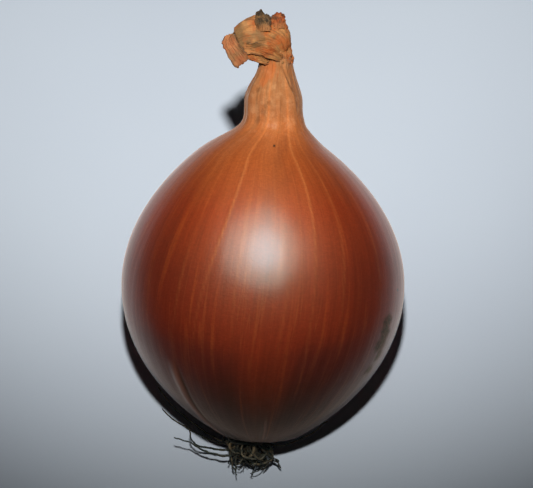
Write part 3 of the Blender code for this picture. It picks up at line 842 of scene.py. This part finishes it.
def tube(points, radii):
    """Rings of a round wire along points, as points and quads, with pointed ends."""
    points = np.asarray(points, float)
    heading = np.gradient(points, axis=0)
    heading /= np.linalg.norm(heading, axis=1)[:, None] + 1e-9
    normal = np.cross(heading[0], (0.3, 0.5, 0.8))
    turns = np.arange(ROOT_SIDES) * math.tau / ROOT_SIDES
    rings = []
    for spot, way, radius in zip(points, heading, radii):
        normal = normal - way * (normal @ way)
        normal /= np.linalg.norm(normal)
        other = np.cross(way, normal)
        rings.append(spot + radius * (np.cos(turns)[:, None] * normal + np.sin(turns)[:, None] * other))
    made = np.concatenate([*rings, [points[0], points[-1] + heading[-1] * radii[-1]]])
    faces = grid_faces(len(points), ROOT_SIDES, True)
    start, top = (len(points) - 1) * ROOT_SIDES, len(made) - 1
    for i in range(ROOT_SIDES):
        j = (i + 1) % ROOT_SIDES
        faces.append([top - 1, j, i])
        faces.append([top, start + i, start + j])
    return made, faces


def gather(parts):
    """Several (points, faces) as one."""
    points, faces, base = [], [], 0
    for some, corners in parts:
        points.append(some)
        faces += [[c + base for c in face] for face in corners]
        base += len(some)
    return np.concatenate(points), faces


def wire(route, radius, rng):
    """A root through its route in the world: knobbly, kinked a little and thinner at its tip."""
    count = len(route) * 5
    line = curve_through([tuple(TO_ONION @ spot) for spot in route], np.linspace(0, 1, count))
    kinks = noise_rows(line * 0.9 + rng.uniform(0, 50))
    line += 0.12 * kinks[:, None]
    radii = [mix(1.1, 0.55, i / (count - 1)) * radius * rng.uniform(0.84, 1.12) for i in range(count)]
    return tube(line, radii)


def make_plate(material):
    rows, columns = 40, 90
    shape = [(0.02, 0.5), (0.7, 0.5), (0.95, 0.25), (1.0, 0), (0.85, -0.35), (0.5, -0.5), (0.02, -0.5)]
    profile = curve_through(shape, np.linspace(0, 1, rows))
    angles = np.linspace(0, math.tau, columns, endpoint=False)
    row, angle = np.meshgrid(np.arange(rows), angles, indexing="ij")
    row, angle = row.ravel(), angle.ravel()
    spread = PLATE_RADIUS * profile[row, 0] * (1 + 0.05 * np.sin(5 * angle))
    points = np.stack([np.cos(angle) * spread, np.sin(angle) * spread, PLATE_HEIGHT * profile[row, 1]], -1)
    points += 0.3 * noise_rows(points, 1.1)[:, None] * (points[:, 2:3] < 0) * (0, 0, 1)
    points += np.array(plate_centre())
    faces = grid_faces(rows, columns, True)
    faces.append(list(range(columns)))
    faces.append(list(range(rows * columns - 1, (rows - 1) * columns - 1, -1)))
    ride(mesh_object("root_plate", points, faces, material), "root")


def make_roots():
    straw = root_material("root_straw", rgb(118, 98, 70), rgb(58, 47, 34))
    brown = root_material("root_brown", rgb(66, 54, 38), rgb(34, 27, 20))
    make_plate(brown)
    thickness = random.Random(SEED)
    rng = random.Random(ROOT_SEED)
    wires = {"root_tuft_brown": [], "root_tuft_straw": []}
    for number, route in enumerate(LONG_ROOTS):
        line = facing(curve_through(route, np.linspace(0, 1, 11)))
        spots = [clear_of_bulb(TO_WORLD @ Vector(spot)) for spot in line]
        for spot in spots:
            spot.z = max(spot.z, ROOT_LOWEST)
        trailing = number >= THICK_LONG_ROOTS
        name = "root_tuft_straw" if trailing else "root_tuft_brown"
        wires[name].append(wire(spots, ROOT_RADIUS * (0.65 if trailing else 1.0), thickness))
    for number in range(ROOT_COUNT):
        route = wild_root(rng)
        radius = ROOT_RADIUS * rng.uniform(0.85, 1.15)
        name = "root_tuft_straw" if number % 2 == 0 else "root_tuft_brown"
        wires[name].append(wire(route, radius, thickness))
    for number in range(FINE_ROOTS):
        name = "root_tuft_straw" if number % 4 == 0 else "root_tuft_brown"
        wires[name].append(wire(wild_root(rng), rng.uniform(*FINE_ROOT_RADII), thickness))
    for name, material in (("root_tuft_brown", brown), ("root_tuft_straw", straw)):
        points, faces = gather(wires[name])
        piece = mesh_object(name, points, faces, material)
        ride(piece, "root", *(["root_tuft"] if name == "root_tuft_brown" else []))


# The table, the camera and the lights

BULB_CENTRE = Vector((0, FLAT_NEARER, CENTRE_HEIGHT)) / 1000


def make_camera():
    forward = Vector((0, math.cos(CAMERA_RISE), -math.sin(CAMERA_RISE)))
    right = Vector((1, 0, 0))
    up = right.cross(forward)
    side = (PICTURE_WIDTH / 2 - BULB_PIXEL[0]) / PIXELS_PER_MM / 1000
    rise = (BULB_PIXEL[1] - PICTURE_HEIGHT / 2) / PIXELS_PER_MM / 1000
    target = BULB_CENTRE + right * side + up * rise
    data = bpy.data.cameras.new("camera")
    data.sensor_width = SENSOR_WIDTH
    data.lens = SENSOR_WIDTH * CAMERA_DISTANCE * PIXELS_PER_MM / PICTURE_WIDTH
    data.clip_start, data.clip_end = 0.01, 10
    camera = bpy.data.objects.new("camera", data)
    camera.location = target - forward * CAMERA_DISTANCE / 1000
    camera.rotation_euler = forward.to_track_quat("-Z", "Y").to_euler()
    bpy.context.scene.collection.objects.link(camera)
    bpy.context.scene.camera = camera


def make_light(name, kind, place, target, power, colour, **settings):
    data = bpy.data.lights.new(name, kind)
    data.energy = power
    data.color = colour
    for key, value in settings.items():
        setattr(data, key, value)
    light = bpy.data.objects.new(name, data)
    light.location = place
    light.rotation_euler = (Vector(target) - Vector(place)).to_track_quat("-Z", "Y").to_euler()
    bpy.context.scene.collection.objects.link(light)
    return light


def make_studio():
    """A small lamp above the camera, which gives the light and the shadow, and the shine on the skin."""

    def above_camera(degrees, side=0.0):
        rise = CAMERA_RISE + math.radians(degrees)
        return BULB_CENTRE + Vector((side, -math.cos(rise) * LAMP_DISTANCE, math.sin(rise) * LAMP_DISTANCE))

    key = make_light(
        "key", "SPOT", above_camera(KEY_ABOVE), KEY_AIM, KEY_POWER, (1.0, 0.985, 0.965),
        spot_size=math.radians(KEY_CONE), spot_blend=1.0, shadow_soft_size=0.01,
    )
    key.visible_glossy = False
    # The shine is bright in its middle and fades outwards
    for name, power, colour, size in (
        ("shine_middle", 3.0, (0.46, 0.9, 1.0), 0.26),
        ("shine_round", 4.4, (0.6, 0.95, 0.88), 0.54),
    ):
        place = above_camera(SHINE_ABOVE, SHINE_SIDE)
        shine = make_light(name, "AREA", place, BULB_CENTRE, power, colour, size=size, shape="DISK")
        shine.visible_diffuse = False
    for name, place in (("back_fill", (-0.5, 0.7, 0.6)), ("side_fill", (0.8, 0.1, 0.5))):
        make_light(name, "AREA", place, (0, 0, 0.04), FILL_POWER, (0.95, 0.98, 1), size=FILL_SIZE)
    world = bpy.data.worlds.new("room")
    world.use_nodes = True
    background = world.node_tree.nodes["Background"]
    background.inputs["Color"].default_value = (0.80, 0.88, 1.0, 1)
    background.inputs["Strength"].default_value = ROOM_GLOW
    bpy.context.scene.world = world
    bpy.context.scene.view_settings.view_transform = "Standard"


def make_table():
    mesh = bpy.data.meshes.new("paper_sheet")
    corners = [(x * TABLE_HALF, y * TABLE_HALF, 0) for x, y in ((-1, -1), (1, -1), (1, 1), (-1, 1))]
    mesh.from_pydata(corners, [], [[0, 1, 2, 3]])
    mesh.materials.append(paper_material())
    paper = bpy.data.objects.new("paper_sheet", mesh)
    bpy.context.scene.collection.objects.link(paper)


make_camera()
make_studio()
make_table()
make_bulb()
make_leaves()
make_roots()
